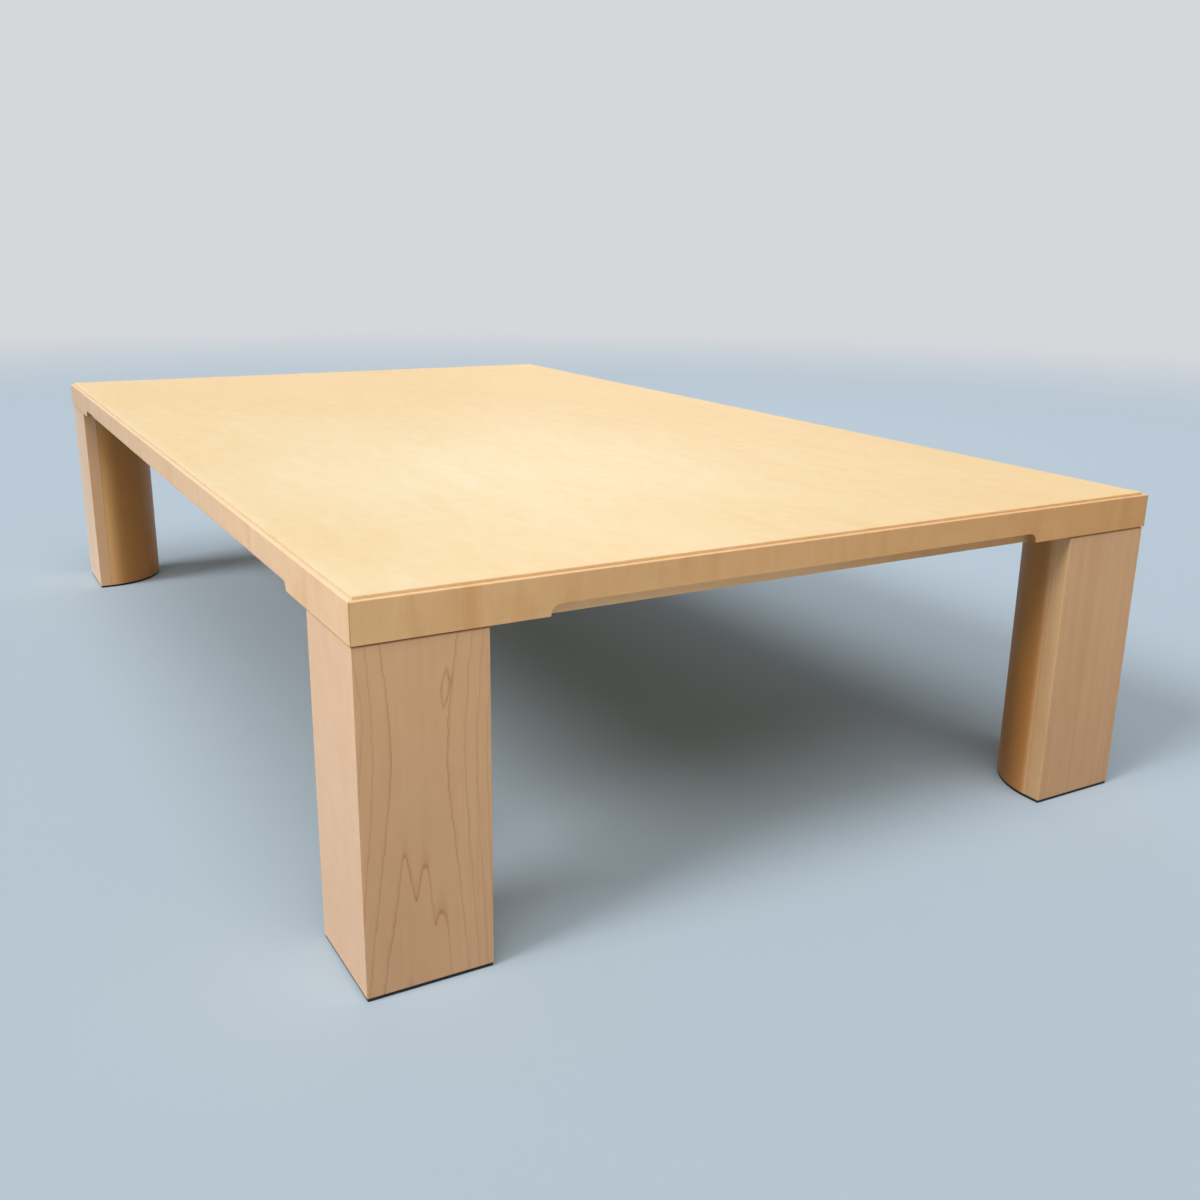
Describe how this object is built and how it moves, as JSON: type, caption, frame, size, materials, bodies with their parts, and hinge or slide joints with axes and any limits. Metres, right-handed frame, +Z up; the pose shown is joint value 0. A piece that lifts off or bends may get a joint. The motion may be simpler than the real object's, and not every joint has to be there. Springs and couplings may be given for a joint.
{
  "type": "low floor table",
  "caption": "Low rectangular floor table with a veneered flush top, mitred edge boards with a stopped rebate, and square legs rounded on the inside.",
  "frame": {"origin": "on the floor, under the middle of the table", "axes": "+X along the length, +Y across the width to the back, +Z up"},
  "size_m": [1.5, 0.9, 0.345],
  "materials": {
    "veneer": "satin clear lacquer on figured maple veneer",
    "edge_wood": "satin clear lacquer on solid maple",
    "leg_wood": "satin clear lacquer on solid maple",
    "bent_wood": "satin clear lacquer on bent maple-faced plywood",
    "plywood": "sanded plywood with a thin sealer",
    "core_wood": "planed softwood",
    "dowel_wood": "raw beech",
    "pad": "matte black rubber sheet",
    "steel": "zinc plated",
    "insert": "zinc plated"
  },
  "bodies": {
    "root": {"top_panel": "veneer", "edge_board_front": "edge_wood", "edge_board_right": "edge_wood", "edge_board_back": "edge_wood", "edge_board_left": "edge_wood", "underside_sheet": "plywood", "core_rail_front": "core_wood", "core_rail_back": "core_wood", "core_rail_left": "core_wood", "core_rail_right": "core_wood", "core_batten_1": "core_wood", "core_batten_2": "core_wood", "core_batten_3": "core_wood", "core_batten_4": "core_wood", "corner_block_front_left": "core_wood", "corner_block_front_right": "core_wood", "corner_block_back_right": "core_wood", "corner_block_back_left": "core_wood", "leg_front_left_long_side_board": "leg_wood", "leg_front_left_end_board": "leg_wood", "leg_front_left_bent_panel": "bent_wood", "leg_front_left_top_block": "core_wood", "leg_front_left_foot_block": "core_wood", "foot_pad_front_left": "pad", "leg_bolt_front_left": "steel", "threaded_insert_front_left": "insert", "dowel_front_left_1": "dowel_wood", "dowel_front_left_2": "dowel_wood", "leg_front_right_long_side_board": "leg_wood", "leg_front_right_end_board": "leg_wood", "leg_front_right_bent_panel": "bent_wood", "leg_front_right_top_block": "core_wood", "leg_front_right_foot_block": "core_wood", "foot_pad_front_right": "pad", "leg_bolt_front_right": "steel", "threaded_insert_front_right": "insert", "dowel_front_right_1": "dowel_wood", "dowel_front_right_2": "dowel_wood", "leg_back_right_long_side_board": "leg_wood", "leg_back_right_end_board": "leg_wood", "leg_back_right_bent_panel": "bent_wood", "leg_back_right_top_block": "core_wood", "leg_back_right_foot_block": "core_wood", "foot_pad_back_right": "pad", "leg_bolt_back_right": "steel", "threaded_insert_back_right": "insert", "dowel_back_right_1": "dowel_wood", "dowel_back_right_2": "dowel_wood", "leg_back_left_long_side_board": "leg_wood", "leg_back_left_end_board": "leg_wood", "leg_back_left_bent_panel": "bent_wood", "leg_back_left_top_block": "core_wood", "leg_back_left_foot_block": "core_wood", "foot_pad_back_left": "pad", "leg_bolt_back_left": "steel", "threaded_insert_back_left": "insert", "dowel_back_left_1": "dowel_wood", "dowel_back_left_2": "dowel_wood"}
  },
  "joints": []
}
